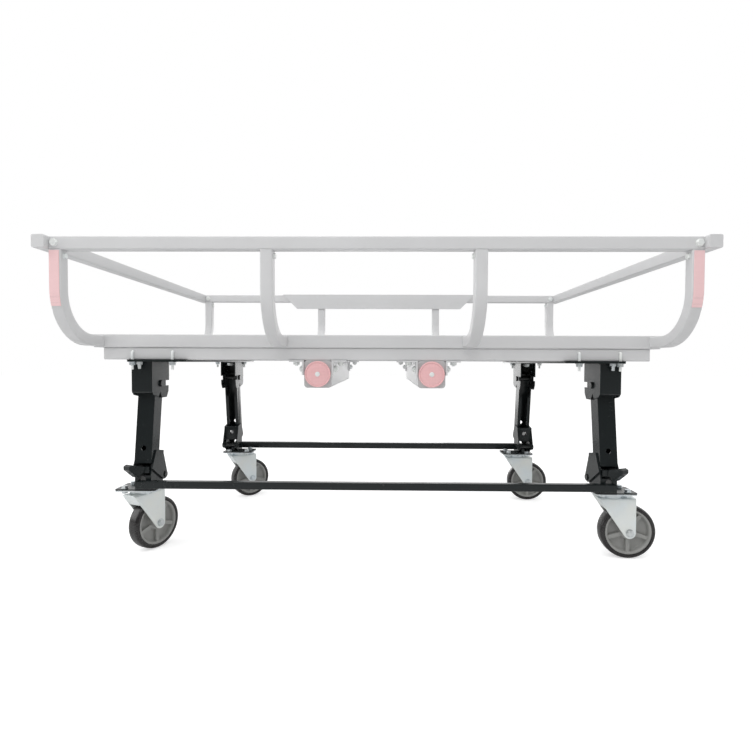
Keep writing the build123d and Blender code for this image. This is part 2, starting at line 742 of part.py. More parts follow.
# Casters
for pair, side, leg_x, out in (
    ("near", -1, near_leg_x, near_kingpin_out),
    ("far", 1, far_leg_x, far_kingpin_out),
):
    king_places = [(x_sign * (leg_x + out), side * kingpin_y) for x_sign in (-1, 1)]
    with BuildPart() as caster_plates:
        for kx, ky in king_places:
            with BuildSketch(Plane.XY.offset(plate_bottom)):
                with Locations((kx, ky)):
                    RectangleRounded(flange_x, flange_y, 5)
                    with GridLocations(bolt_x, bolt_y, 2, 2):
                        Circle(bolt_d / 2 + fit, mode=Mode.SUBTRACT)
            extrude(amount=plate_t)
            rod((kx, ky, plate_bottom), (0, 0, -1), 2 * race_r, race_h)
            head_top = crown_top - crown_t - race_gap
            rod((kx, ky, plate_bottom), (0, 0, -1), kingpin_d, plate_bottom - head_top)
            rod((kx, ky, head_top), (0, 0, -1), kingpin_d + 10, 5)
    save(caster_plates, f"{pair}_caster_plates")

    with BuildPart() as caster_bolts:
        washer = 1.6
        for kx, ky in king_places:
            for dx in (-bolt_x / 2, bolt_x / 2):
                for dy in (-bolt_y / 2, bolt_y / 2):
                    rod((kx + dx, ky + dy, flange_top), (0, 0, 1), 16, washer)
                    bolt((kx + dx, ky + dy, flange_top + washer), (0, 0, -1), bolt_d,
                         washer + flange_t + plate_t, nut_af, 5, nut_h - 1)
    save(caster_bolts, f"{pair}_caster_bolts")

    for flank, (kx, ky) in zip(("left", "right"), king_places):
        yaw = math.radians(yaws[f"{pair}_{flank}"])
        ahead = Vector(math.cos(yaw), math.sin(yaw), 0)
        sideways = Vector(-math.sin(yaw), math.cos(yaw), 0)
        king = Vector(kx, ky, 0)
        centre = king + ahead * trail + Vector(0, 0, wheel_r)
        inner_half = wheel_w / 2 + fork_gap

        with BuildPart() as fork:
            for cheek_side in (-1, 1):
                start = king + sideways * (cheek_side * inner_half)
                with BuildSketch(Plane(origin=start, x_dir=ahead, z_dir=sideways * cheek_side)) as cheek:
                    # local x runs along the trail; local y is up on one side and down on the other
                    up = 1 if cheek_side < 0 else -1
                    with BuildLine():
                        slope = math.atan2(crown_top - wheel_r, fork_front + trail)
                        touch = math.asin(fork_boss / math.hypot(crown_top - wheel_r, fork_front + trail))
                        turn = slope + touch + math.pi / 2
                        tangent = (trail - fork_boss * math.sin(slope + touch),
                                   up * (wheel_r - fork_boss * math.cos(slope + touch)))
                        low = (trail + fork_boss * math.sin(0.3), up * (wheel_r - fork_boss * math.cos(0.3)))
                        outer = (trail + fork_boss, up * wheel_r)
                        Line((-fork_front, up * crown_top), tangent)
                        ThreePointArc(tangent, low, outer)
                        Polyline(outer, (trail + fork_boss, up * crown_top), (-fork_front, up * crown_top))
                    make_face()
                    with Locations((trail, up * wheel_r)):
                        Circle(axle_d / 2 + fit, mode=Mode.SUBTRACT)
                extrude(amount=fork_t)
            crown_len = fork_front + trail + fork_boss
            crown_mid = king + ahead * (crown_len / 2 - fork_front)
            with BuildSketch(Plane(origin=crown_mid + Vector(0, 0, crown_top), x_dir=ahead, z_dir=(0, 0, -1))):
                Rectangle(crown_len, fork_w)
                with Locations((fork_front - crown_len / 2, 0)):
                    Circle(kingpin_d / 2 + fit, mode=Mode.SUBTRACT)
            extrude(amount=crown_t)
            # front web down the sloping edge, stopping clear of the tyre
            run = Vector(trail + fork_front - fork_boss, wheel_r - crown_top)
            run = run * (34 / run.length)
            with BuildSketch(Plane(origin=king - sideways * inner_half, x_dir=ahead, z_dir=sideways * -1)):
                with BuildLine():
                    Polyline(
                        (-fork_front, crown_top),
                        (-fork_front + run.X, crown_top + run.Y),
                        (-fork_front + run.X + 3, crown_top + run.Y),
                        (-fork_front + 3.6, crown_top),
                        close=True,
                    )
                make_face()
            extrude(amount=-2 * inner_half)
            # the axle bolt is a separate solid, clamped in both cheeks
            reach = inner_half + fork_t
            axle_from = centre - sideways * reach
            rod(axle_from, sideways, axle_d, 2 * reach)
            hexagon(axle_from, sideways * -1, 15, 5)
            hexagon(centre + sideways * reach, sideways, 15, 6)
        save(fork, f"{pair}_{flank}_fork")

        with BuildPart() as hub:
            hub_plane = Plane(origin=centre, x_dir=ahead, z_dir=sideways)
            half = wheel_w / 2 - 1
            boss_half = inner_half - hub_side_gap
            with BuildSketch(hub_plane) as rim:
                Circle(hub_r)
                Circle(hub_r - 7, mode=Mode.SUBTRACT)
            extrude(amount=half, both=True)
            with BuildSketch(hub_plane) as disc:
                Circle(hub_r - 6.5)
            extrude(amount=3, both=True)
            with BuildSketch(hub_plane) as boss:
                Circle(hub_boss_r)
            extrude(amount=boss_half, both=True)
            with BuildSketch(hub_plane) as arms:
                with PolarLocations((hub_boss_r + hub_r - 6.5) / 2, spokes, start_angle=54):
                    Rectangle(hub_r - 6.5 - hub_boss_r + 4, 6)
            extrude(amount=half - 3, both=True)
            with BuildSketch(hub_plane) as bore:
                Circle(axle_d / 2 + fit)
            extrude(amount=boss_half + 1, both=True, mode=Mode.SUBTRACT)
        save(hub, f"{pair}_{flank}_wheel_hub")

        with BuildPart() as tyre:
            with BuildSketch(hub_plane) as ring:
                Circle(wheel_r)
                Circle(hub_r, mode=Mode.SUBTRACT)
            extrude(amount=wheel_w / 2, both=True)
            outer_edges = [e for e in tyre.edges().filter_by(GeomType.CIRCLE) if e.radius > hub_r + 1]
            fillet(outer_edges, radius=5)
        save(tyre, f"{pair}_{flank}_tyre")
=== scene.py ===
import json
import math
import bmesh
import bpy
from mathutils import Matrix, Vector

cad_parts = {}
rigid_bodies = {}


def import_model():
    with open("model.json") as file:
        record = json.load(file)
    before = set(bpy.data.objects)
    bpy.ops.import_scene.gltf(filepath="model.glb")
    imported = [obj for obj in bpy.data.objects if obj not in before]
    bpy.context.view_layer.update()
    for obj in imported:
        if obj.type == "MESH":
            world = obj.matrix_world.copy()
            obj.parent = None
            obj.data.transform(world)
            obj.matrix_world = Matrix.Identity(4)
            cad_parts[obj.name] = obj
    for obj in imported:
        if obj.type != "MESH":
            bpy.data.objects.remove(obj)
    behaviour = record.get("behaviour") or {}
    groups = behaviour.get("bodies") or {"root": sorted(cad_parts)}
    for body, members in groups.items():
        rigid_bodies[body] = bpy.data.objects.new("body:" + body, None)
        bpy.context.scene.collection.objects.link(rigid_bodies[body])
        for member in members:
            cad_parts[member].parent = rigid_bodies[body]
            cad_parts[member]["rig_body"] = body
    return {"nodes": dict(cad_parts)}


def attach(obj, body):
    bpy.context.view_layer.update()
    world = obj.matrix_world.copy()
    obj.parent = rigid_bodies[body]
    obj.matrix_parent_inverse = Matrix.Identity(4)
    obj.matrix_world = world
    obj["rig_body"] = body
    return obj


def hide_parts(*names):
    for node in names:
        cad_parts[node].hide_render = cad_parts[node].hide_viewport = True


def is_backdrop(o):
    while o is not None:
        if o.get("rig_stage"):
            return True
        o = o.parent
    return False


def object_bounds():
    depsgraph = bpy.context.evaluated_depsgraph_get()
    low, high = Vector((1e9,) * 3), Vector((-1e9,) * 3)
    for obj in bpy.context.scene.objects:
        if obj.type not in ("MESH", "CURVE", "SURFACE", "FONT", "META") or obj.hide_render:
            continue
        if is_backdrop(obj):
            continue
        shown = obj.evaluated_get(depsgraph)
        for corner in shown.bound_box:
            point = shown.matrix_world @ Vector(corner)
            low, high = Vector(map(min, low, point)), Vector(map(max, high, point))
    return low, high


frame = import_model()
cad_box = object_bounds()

# Studio: a wide window of light above and in front, a softer one at each side, and a high and
# a low one behind, over a plain pale floor. The room reads white to the camera and lights the
# object evenly, but the metal mirrors a dark room on the camera's side.
scene = bpy.context.scene
scene.view_settings.view_transform = "Standard"


class Tone:
    """A shader socket that can be added, multiplied and so on, as a plain number can."""

    def __init__(self, tree, out=None):
        self.tree = tree
        self.out = out

    def put(self, kind, settings=None, inputs=None, out=0):
        """Any node: its type, its settings, and the values or links of its sockets."""
        node = self.tree.nodes.new(kind)
        for key, value in (settings or {}).items():
            setattr(node, key, value)
        for key, value in (inputs or {}).items():
            if isinstance(value, Tone):
                self.tree.links.new(value.out, node.inputs[key])
            else:
                node.inputs[key].default_value = value
        return Tone(self.tree, node.outputs[out] if len(node.outputs) else None)

    def sum(self, operation, first, second, clamp=False):
        settings = {"operation": operation, "use_clamp": clamp}
        return self.put("ShaderNodeMath", settings, {0: first, 1: second})

    def __add__(self, other):
        return self.sum("ADD", self, other)

    __radd__ = __add__

    def __sub__(self, other):
        return self.sum("SUBTRACT", self, other)

    def __rsub__(self, other):
        return self.sum("SUBTRACT", other, self)

    def __mul__(self, other):
        return self.sum("MULTIPLY", self, other)

    def __truediv__(self, other):
        return self.sum("DIVIDE", self, other)

    def mix(self, dark, light):
        """A colour between two, by this mask."""
        def colour(value):
            return value if isinstance(value, Tone) else (*value, 1.0)

        between = {0: self, 6: colour(dark), 7: colour(light)}
        return self.put("ShaderNodeMix", {"data_type": "RGBA"}, between, 2)


def new_material(name):
    """An empty node material and a Tone that writes into it."""
    made = bpy.data.materials.new(name)
    made.use_nodes = True
    made.node_tree.nodes.clear()
    return made, Tone(made.node_tree)


room_white = 1.0
room_light = 0.62
room_front = 0.22
dark_until, white_from = -0.55, 0.35  # where the mirrored room turns, from front to back
white = (1, 1, 1, 1)
world = bpy.data.worlds.new("room")
scene.world = world
world.use_nodes = True
world.node_tree.nodes.clear()
room = Tone(world.node_tree)
seen = room.put("ShaderNodeLightPath", out="Is Camera Ray")
mirrored = Tone(world.node_tree, seen.out.node.outputs["Is Glossy Ray"])
ray_way = room.put("ShaderNodeTexCoord", out="Generated")
towards = room.put("ShaderNodeSeparateXYZ", inputs={0: ray_way}, out="Y")
behind = room.put("ShaderNodeMapRange", {"interpolation_type": "SMOOTHSTEP"}, {
    "Value": towards, "From Min": dark_until, "From Max": white_from,
    "To Min": room_front, "To Max": room_white})
lit = room.put("ShaderNodeBackground", inputs={
    0: white, 1: mirrored * behind + (1 - mirrored) * room_light})
clear = room.put("ShaderNodeBackground", inputs={0: white, 1: room_white})
blend_room = room.put("ShaderNodeMixShader", inputs={0: seen, 1: lit, 2: clear})
room.put("ShaderNodeOutputWorld", inputs={0: blend_room})

floor_half = 14.0
floor_grey = (0.8, 0.8, 0.8, 1)
floor_glow = 0.53  # for the camera only
floor_mesh = bpy.data.meshes.new("floor")
floor_mesh.from_pydata(
    [(x * floor_half, y * floor_half, 0) for x, y in ((-1, -1), (1, -1), (1, 1), (-1, 1))],
    [], [(0, 1, 2, 3)])
floor = bpy.data.objects.new("floor", floor_mesh)
scene.collection.objects.link(floor)
floor_paint, tone = new_material("floor_paint")
seen = tone.put("ShaderNodeLightPath", out="Is Camera Ray")
matt = tone.put("ShaderNodeBsdfDiffuse", inputs={0: floor_grey})
glow = tone.put("ShaderNodeEmission", inputs={0: white, 1: seen * floor_glow})
both = tone.put("ShaderNodeAddShader", inputs={0: matt, 1: glow})
tone.put("ShaderNodeOutputMaterial", inputs={0: both})
floor_mesh.materials.append(floor_paint)
floor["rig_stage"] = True

lamps_aim = Vector((0, 0, 0.35))
for name, place, size, tall, power in (
    ("window_above", (-0.6, -1.6, 3.2), 2.6, 2.6, 46.0),
    ("window_left", (-3.2, -0.9, 1.5), 2.0, 2.0, 26.0),
    ("window_right", (3.2, -0.6, 1.6), 2.0, 2.0, 16.0),
    ("window_behind", (0.4, 3.4, 2.2), 2.4, 2.0, 10.0),
    ("window_low", (0.0, 3.3, 0.45), 1.2, 0.8, 6.2),
):
    lamp = bpy.data.lights.new(name, "AREA")
    lamp.shape = "RECTANGLE"
    lamp.size = size
    lamp.size_y = tall
    lamp.energy = power
    light = bpy.data.objects.new(name, lamp)
    light.location = place
    light.visible_camera = False
    light.rotation_euler = (lamps_aim - Vector(place)).to_track_quat("-Z", "Y").to_euler()
    scene.collection.objects.link(light)

eye = Vector((0.0212, -1.42825, 0.4598))
yaw, pitch, roll = math.radians(0.85), math.radians(1.64), math.radians(0.23)
facing = Vector((
    -math.sin(yaw) * math.cos(pitch), math.cos(yaw) * math.cos(pitch), -math.sin(pitch)))
lens = bpy.data.cameras.new("view")
lens.sensor_width = 36.0
lens.lens = 23.73
camera = bpy.data.objects.new("view", lens)
camera.location = eye
level = facing.to_track_quat("-Z", "Y").to_matrix()
camera.rotation_euler = (level @ Matrix.Rotation(roll, 3, "Z")).to_euler()
scene.collection.objects.link(camera)
scene.camera = camera

# Basket rails: pale grey powder-coated steel tube, 26 mm square with rolled corners, and a
# pressed panel on the far rail. The side rails run on past the long ones and are plugged
# with caps; bolts go through the joints.
pale_grey = (0.66, 0.662, 0.668)


def noise(tone, place, scale, detail, rough, swirl=0.0):
    """Cloudy noise between 0 and 1."""
    return tone.put("ShaderNodeTexNoise", inputs={
        "Vector": place, "Scale": scale, "Detail": detail, "Roughness": rough,
        "Distortion": swirl})


def bump(tone, height, strength, distance):
    """The normal of a skin with this height on it."""
    return tone.put("ShaderNodeBump", inputs={
        "Strength": strength, "Distance": distance, "Height": height})


def powder_coat(name, colour, rough, peel_depth, wear=0.0, shine=0.5):
    """Baked powder paint: a faint orange peel, a little dust, and small changes of gloss."""
    made, tone = new_material(name)
    place = tone.put("ShaderNodeTexCoord", out="Object")
    peel = noise(tone, place, 620.0, 2.0, 0.5)
    cloud = noise(tone, place, 9.0, 4.0, 0.6)
    scuff = noise(tone, place, 75.0, 6.0, 0.7)
    dull = tuple(c * 0.93 for c in colour)
    clean = tuple(min(1.0, c * 1.06 + 0.001) for c in colour)
    base = cloud.mix(dull, clean)
    if wear:
        rubbed = tone.sum("MULTIPLY", (scuff - 0.60) * 8.0, wear, clamp=True)
        base = rubbed.mix(base, tuple(c + 0.02 for c in colour))
    skin = tone.put("ShaderNodeBsdfPrincipled", inputs={
        "Specular IOR Level": shine, "Base Color": base,
        "Roughness": rough + (cloud - 0.5) * 0.14 + (scuff - 0.5) * 0.10,
        "Normal": bump(tone, peel, peel_depth, 0.0002)})
    tone.put("ShaderNodeOutputMaterial", inputs={0: skin})
    return made


def dressed(node, made, edge):
    """A copy of a CAD node whose sharp edges are rounded off, as cut and painted steel is."""
    piece = frame["nodes"][node]
    shell = bmesh.new()
    shell.from_mesh(piece.data)
    bmesh.ops.remove_doubles(shell, verts=shell.verts, dist=1e-6)
    bmesh.ops.dissolve_limit(
        shell, angle_limit=math.radians(0.5), verts=shell.verts, edges=shell.edges)
    mesh = bpy.data.meshes.new(node + "_shape")
    shell.to_mesh(mesh)
    shell.free()
    return placed(node + "_shape", mesh, made, piece["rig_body"], [node], edge)


def placed(name, mesh, made, body, nodes, edge=0.0, turn=None):
    """A finished piece: its place goes into its mesh, and it rides on its body."""
    if turn is not None:
        mesh.transform(turn)
    mesh.materials.clear()
    mesh.materials.append(made)
    mesh.shade_smooth()
    mesh.set_sharp_from_angle(angle=math.radians(32))
    piece = bpy.data.objects.new(name, mesh)
    scene.collection.objects.link(piece)
    if edge:
        bevel = piece.modifiers.new("edges", "BEVEL")
        bevel.width = edge
        bevel.segments = 2
        bevel.limit_method = "ANGLE"
        bevel.angle_limit = math.radians(40)
        bevel.harden_normals = True
    if nodes:
        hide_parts(*nodes)
    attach(piece, body)
    return piece


basket_paint = powder_coat("basket_paint", pale_grey, 0.42, 0.25)
for node in ("near_top_rail", "far_top_rail", "left_side_rail", "right_side_rail",
             "far_rail_panel"):
    dressed(node, basket_paint, 0.0005)

dressed("rail_end_caps", basket_paint, 0.0012)

zinc_bright = (0.70, 0.73, 0.76)


def zinc_plate(name, colour, rough, tint, metal):
    """Bright zinc plating: fine grain, cloudy, and faintly blue or straw in patches."""
    made, tone = new_material(name)
    place = tone.put("ShaderNodeTexCoord", out="Object")
    cloud = noise(tone, place, 38.0, 3.0, 0.6)
    patch = noise(tone, place, 14.0, 2.0, 0.5)
    grain = noise(tone, place, 900.0, 2.0, 0.6)
    straw = tuple(c * k for c, k in zip(colour, (1.0, 0.985, 0.93)))
    blue = tuple(c * k for c, k in zip(colour, (0.93, 0.98, 1.0)))
    base = ((patch - 0.5) * tint + 0.5).mix(blue, straw)
    base = ((cloud - 0.55) * 0.8).mix(base, tuple(c * 0.78 for c in colour))
    skin = tone.put("ShaderNodeBsdfPrincipled", inputs={
        "Base Color": base, "Metallic": metal,
        "Roughness": rough + (cloud - 0.5) * 0.16 + (grain - 0.5) * 0.12,
        "Normal": bump(tone, grain, 0.12, 0.0001)})
    tone.put("ShaderNodeOutputMaterial", inputs={0: skin})
    return made


def fastener_tree():
    """A hexagon head or nut, chamfered, on a washer and with a stub of thread, per point."""
    tree = bpy.data.node_groups.new("hex_fastener", "GeometryNodeTree")
    face = tree.interface
    face.new_socket("Places", in_out="INPUT", socket_type="NodeSocketGeometry")
    for label in ("Flats", "Height", "Washer Radius", "Washer Thickness", "Stub Radius",
                  "Stub Length"):
        face.new_socket(label, in_out="INPUT", socket_type="NodeSocketFloat")
    face.new_socket("Finish", in_out="INPUT", socket_type="NodeSocketMaterial")
    face.new_socket("Geometry", in_out="OUTPUT", socket_type="NodeSocketGeometry")
    make = Tone(tree)
    given = tree.nodes.new("NodeGroupInput")
    ask = {socket.name: Tone(tree, socket) for socket in given.outputs if socket.name}
    corner = ask["Flats"] * (1 / math.sqrt(3))

    def drum(sides, bottom, top, depth, rise):
        solid = make.put("GeometryNodeMeshCone", {"fill_type": "NGON"}, {
            "Vertices": sides, "Radius Top": top, "Radius Bottom": bottom, "Depth": depth})
        up = make.put("ShaderNodeCombineXYZ", inputs={"Z": rise})
        return make.put("GeometryNodeTransform", inputs={"Geometry": solid, "Translation": up})

    washer = ask["Washer Thickness"]
    shapes = [
        drum(32, ask["Washer Radius"], ask["Washer Radius"] * 0.985, washer, 0.0),
        drum(6, corner, corner, ask["Height"] * 0.82, washer),
        drum(6, corner, corner * 0.86, ask["Height"] * 0.18, washer + ask["Height"] * 0.82),
        drum(20, ask["Stub Radius"], ask["Stub Radius"] * 0.86, ask["Stub Length"],
             washer + ask["Height"]),
    ]
    join = tree.nodes.new("GeometryNodeJoinGeometry")
    for shape in shapes:
        tree.links.new(shape.out, join.inputs[0])
    aim = make.put("GeometryNodeInputNamedAttribute", {"data_type": "FLOAT_VECTOR"}, {
        "Name": "aim"})
    turn = make.put("FunctionNodeAlignRotationToVector", {"axis": "Z"}, {"Vector": aim})
    spread = make.put("GeometryNodeInstanceOnPoints", inputs={
        "Points": ask["Places"], "Instance": Tone(tree, join.outputs[0]), "Rotation": turn})
    real = make.put("GeometryNodeRealizeInstances", inputs={"Geometry": spread})
    done = make.put("GeometryNodeSetMaterial", inputs={"Geometry": real, "Material": ask["Finish"]})
    end = tree.nodes.new("NodeGroupOutput")
    tree.links.new(done.out, end.inputs[0])
    return tree


hex_fastener = fastener_tree()


def as_made(piece):
    """A plain mesh of what an object's modifiers make of it."""
    bpy.context.view_layer.update()
    now = bpy.context.evaluated_depsgraph_get()
    return bpy.data.meshes.new_from_object(piece.evaluated_get(now))


def grown(name, mesh, tree, made, values):
    """The plain mesh that a Geometry Nodes tree makes from a mesh, with these named sizes."""
    seed_piece = bpy.data.objects.new(name + "_seed", mesh)
    scene.collection.objects.link(seed_piece)
    growth = seed_piece.modifiers.new("grow", "NODES")
    growth.node_group = tree
    for item in tree.interface.items_tree:
        if item.in_out == "INPUT" and item.name in values:
            growth[item.identifier] = values[item.name]
        if item.in_out == "INPUT" and item.name == "Finish":
            growth[item.identifier] = made
    result = as_made(seed_piece)
    seed_piece.modifiers.clear()
    bpy.data.objects.remove(seed_piece)
    return result


def fasteners(name, spots, flats, height, washer_r, washer_t, stub_r, stub, body, made, nodes):
    """Like bolts or nuts on one body; each spot is its seat and the way its head points."""
    mesh = bpy.data.meshes.new(name + "_spots")
    mesh.from_pydata([seat for seat, aim in spots], [], [])
    aims = mesh.attributes.new("aim", "FLOAT_VECTOR", "POINT")
    for i, (seat, aim) in enumerate(spots):
        aims.data[i].vector = aim
    values = {"Flats": flats, "Height": height, "Washer Radius": washer_r,
              "Washer Thickness": washer_t, "Stub Radius": stub_r, "Stub Length": stub}
    heads = grown(name, mesh, hex_fastener, made, values)
    return placed(name, heads, made, body, nodes, 0.0003)


hardware = zinc_plate("zinc_hardware", zinc_bright, 0.30, 2.2, 0.8)
zinc_pale = (0.90, 0.91, 0.915)
pale_hardware = zinc_plate("pale_hardware", zinc_pale, 0.36, 1.0, 0.15)
corner_x, long_outer, rail_side, bolt_z = 0.6345, 0.446, 0.026, 0.695
corner_spots = [((x, side * long_outer, bolt_z), (0, side, 0))
                for side in (-1, 1) for x in (-corner_x, corner_x)]
fasteners("rail_bolt_heads", corner_spots, 0.013, 0.005, 0.0078, 0.0006, 0.002, 0.0002,
          "carrier", pale_hardware, ["rail_bolts"])
inner_spots = [((x, side * (long_outer - rail_side), bolt_z), (0, -side, 0))
               for side in (-1, 1) for x in (-corner_x, corner_x)]
fasteners("rail_bolt_nuts", inner_spots, 0.013, 0.005, 0.0078, 0.0006, 0.004, 0.001,
          "carrier", pale_hardware, [])

# Posts: the same grey tube bent to a J. Each hangs from a long rail, turns in through a wide
# bend and is welded to the floor beam. The near corner posts carry stick-on reflector strips.
for node in ("near_corner_posts", "near_mid_posts", "far_corner_posts", "far_mid_posts"):
    dressed(node, basket_paint, 0.0003)
mid_x, post_half, post_y, post_bolt_z = 0.2125, 0.0125, 0.4335, 0.671
post_spots = []
for side in (-1, 1):
    for x in (-corner_x, -mid_x, mid_x, corner_x):
        inward = -1 if x > 0 else 1
        seat = (x + inward * post_half, side * post_y, post_bolt_z)
        post_spots.append((seat, (inward, 0, 0)))
fasteners("post_bolt_heads", post_spots, 0.010, 0.004, 0.0062, 0.0005, 0.002, 0.0002,
          "carrier", pale_hardware, ["post_bolts"])

strip_pink = (0.97, 0.66, 0.67)


def reflector(name, colour, cell, rough):
    """Reflective plastic: a clear skin over small prisms, which show as a fine lattice."""
    made, tone = new_material(name)
    place = tone.put("ShaderNodeTexCoord", out="Object")
    cells = tone.put("ShaderNodeTexVoronoi", {"feature": "DISTANCE_TO_EDGE"}, {
        "Vector": place, "Scale": cell, "Randomness": 0.15})
    edge = tone.sum("MULTIPLY", cells, 6.0, clamp=True)
    base = edge.mix(tuple(c * 0.86 for c in colour), colour)
    skin = tone.put("ShaderNodeBsdfPrincipled", inputs={
        "Base Color": base, "Roughness": rough + (1 - edge) * 0.12,
        "Coat Weight": 0.6, "Coat Roughness": 0.08, "Normal": bump(tone, edge, 0.3, 0.0003)})
    tone.put("ShaderNodeOutputMaterial", inputs={0: skin})
    return made


strip_lens = reflector("strip_lens", strip_pink, 420.0, 0.35)
dressed("reflector_strips", strip_lens, 0.0004)

# Floor: grey square beams all round, with slats between them. It is one flat deck for the
# load to stand on.
for node in ("near_floor_beam", "far_floor_beam", "floor_end_beams", "deck_slats"):
    dressed(node, basket_paint, 0.0004)

# Lower beams and slide tubes: two cross beams hang under the floor and carry two heavy square
# tubes, open at the far end for hitch arms and capped at the near end with a round reflector.
for node in ("near_lower_beam", "far_lower_beam", "left_slide_tube", "right_slide_tube"):
    dressed(node, basket_paint, 0.0004)
cap_grey = powder_coat("cap_plastic_grey", (0.52, 0.52, 0.525), 0.5, 0.3)
dressed("slide_tube_caps", cap_grey, 0.0012)


def lathe(name, profile, segments):
    """A turned shape: points of (along the axle, out from it) swept once round the Y axis."""
    verts, faces = [], []
    count = len(profile)
    for i in range(segments):
        angle = 2 * math.pi * i / segments
        for along, out in profile:
            verts.append((out * math.cos(angle), along, out * math.sin(angle)))
    for i in range(segments):
        for j in range(count):
            a, b = i * count + j, i * count + (j + 1) % count
            c, d = ((i + 1) % segments) * count + (j + 1) % count, ((i + 1) % segments) * count + j
            faces.append((a, b, c, d))
    shell = bmesh.new()
    mesh = bpy.data.meshes.new(name)
    mesh.from_pydata(verts, [], faces)
    shell.from_mesh(mesh)
    bmesh.ops.remove_doubles(shell, verts=shell.verts, dist=1e-7)
    bmesh.ops.recalc_face_normals(shell, faces=shell.faces)
    shell.to_mesh(mesh)
    shell.free()
    return mesh


def joined(name, meshes):
    """Several meshes as one."""
    shell = bmesh.new()
    for mesh in meshes:
        shell.from_mesh(mesh)
    whole = bpy.data.meshes.new(name)
    shell.to_mesh(whole)
    shell.free()
    return whole


slide_x, slide_z, slide_half = 0.1305, 0.43225, 0.287
cap_face, lens_face = 0.003, 0.010  # how far each stands in front of the tube's end
lens_pink = (0.93, 0.54, 0.55)
lens_profile = [(0.0, 0.0031), (0.0, 0.0300), (-0.0052, 0.0300), (-0.0066, 0.0294),
                (-0.0070, 0.0282), (-0.0066, 0.0268), (-0.0056, 0.0262), (-0.0056, 0.0256),
                (-0.0064, 0.0240), (-0.0069, 0.0160), (-0.0070, 0.0080), (-0.0070, 0.0031)]
screw_profile = [(0.0, 0.0), (0.0, 0.0055), (-0.0012, 0.0055), (-0.0020, 0.0046),
                 (-0.0025, 0.0030), (-0.0025, 0.0)]
round_lens = reflector("round_lens", lens_pink, 300.0, 0.3)
lenses = []
screws = []
for x in (-slide_x, slide_x):
    lens_mesh = lathe("lens", lens_profile, 72)
    lens_mesh.transform(Matrix.Translation((x, -slide_half - cap_face, slide_z)))
    lenses.append(lens_mesh)
    screw = lathe("screw", screw_profile, 32)
    screw.transform(Matrix.Translation((x, -slide_half - lens_face, slide_z)))
    screws.append(screw)
placed("round_reflector_lenses", joined("lenses", lenses), round_lens,
       "carrier", ["round_reflectors"])
placed("reflector_screw_heads", joined("screws", screws), pale_hardware,
       "carrier", ["reflector_screws"])

# Angle brackets: short lengths of steel angle, powder-coated grey like the tubes, bolted to
# the tube sides and to the underside of the cross beams.
dressed("tube_angle_brackets", basket_paint, 0.0008)

# Mount plates: a black steel plate at each end lies across both cross beams, and is held by
# hook bolts that reach up in front of the beam and into its wall, with a washer and nut below.
black = (0.0080, 0.0115, 0.0122)
frame_black = powder_coat("frame_black", black, 0.25, 0.35, 0.3, 0.36)
dressed("mount_plates", frame_black, 0.0008)
dressed("hook_bolts", pale_hardware, 0.0)
hook_y, plate_under = 0.2935, 0.459
nut_spots = [((sx * hook_x, side * hook_y, plate_under), (0, 0, -1))
             for sx in (-1, 1) for hook_x in (0.465, 0.558) for side in (-1, 1)]
fasteners("hook_bolt_nuts", nut_spots, 0.013, 0.0065, 0.0088, 0.0016, 0.003, 0.0035,
          "carrier", hardware, ["hook_nuts"])

# Leg brackets: folded steel channels, open below and inboard, bolted under the mount plates.
# The leg turns on a headed pin between the side plates. Like nuts hold the tubes' angle
# brackets, and one more bolt goes through the plate in front of each near bracket.
for node in ("near_leg_brackets", "far_leg_brackets"):
    dressed(node, frame_black, 0.0007)
near_leg_x, far_leg_x = 0.541, 0.490
bracket_under, plate_bolt_y = 0.456, -0.294
under_spots = [((sx * leg_x, side * y, bracket_under), (0, 0, -1))
               for side, leg_x in ((-1, near_leg_x), (1, far_leg_x))
               for sx in (-1, 1) for y in (0.204, 0.226)]
plate_bolts = [((sx * near_leg_x, plate_bolt_y, plate_under), (0, 0, -1)) for sx in (-1, 1)]
fasteners("plate_bolt_nuts", plate_bolts, 0.013, 0.0058, 0.0072, 0.0007, 0.004, 0.010,
          "carrier", hardware, [])
tube_half, angle_y = 0.03175, 0.276
for sx in (-1, 1):
    for y in (-angle_y, angle_y):
        for flank in (-1, 1):
            wall = sx * slide_x + flank * tube_half
            under_spots.append(((wall + flank * 0.020, y, 0.460), (0, 0, -1)))
            under_spots.append(((wall + flank * 0.004, y, 0.444), (flank, 0, 0)))
fasteners("bracket_nuts", under_spots, 0.013, 0.0058, 0.0072, 0.0007, 0.004, 0.0025,
          "carrier", pale_hardware, ["bracket_bolts"])
pin_black = powder_coat("pin_black", (0.014, 0.016, 0.016), 0.26, 0.2)
dressed("leg_hinge_pins", pin_black, 0.0008)

# Legs: black channel section leaning out to the floor, web outboard, with a bent knuckle
# welded round the lower end that carries the foot's pin.
for node in ("near_legs", "far_legs"):
    dressed(node, frame_black, 0.0007)
for node in ("near_foot_pins", "far_foot_pins"):
    dressed(node, pin_black, 0.0007)

# Feet: short black channels on a flat flange, hinged to the legs. A thin square rail joins
# each left foot to its right one, and a bent step-on pedal sticks out of each.
for node in ("near_feet", "far_feet", "near_cross_rail", "far_cross_rail"):
    dressed(node, frame_black, 0.0006)
for node in ("near_left_pedal", "near_right_pedal", "far_left_pedal", "far_right_pedal"):
    dressed(node, frame_black, 0.0009)

# Casters: a zinc top plate with a ball race and kingpin, a pressed zinc fork, a moulded grey
# hub with five spokes, and a dark resilient tyre bonded round it.
fork_white = (0.86, 0.89, 0.90)
fork_zinc = zinc_plate("fork_zinc", fork_white, 0.36, 2.2, 0.45)


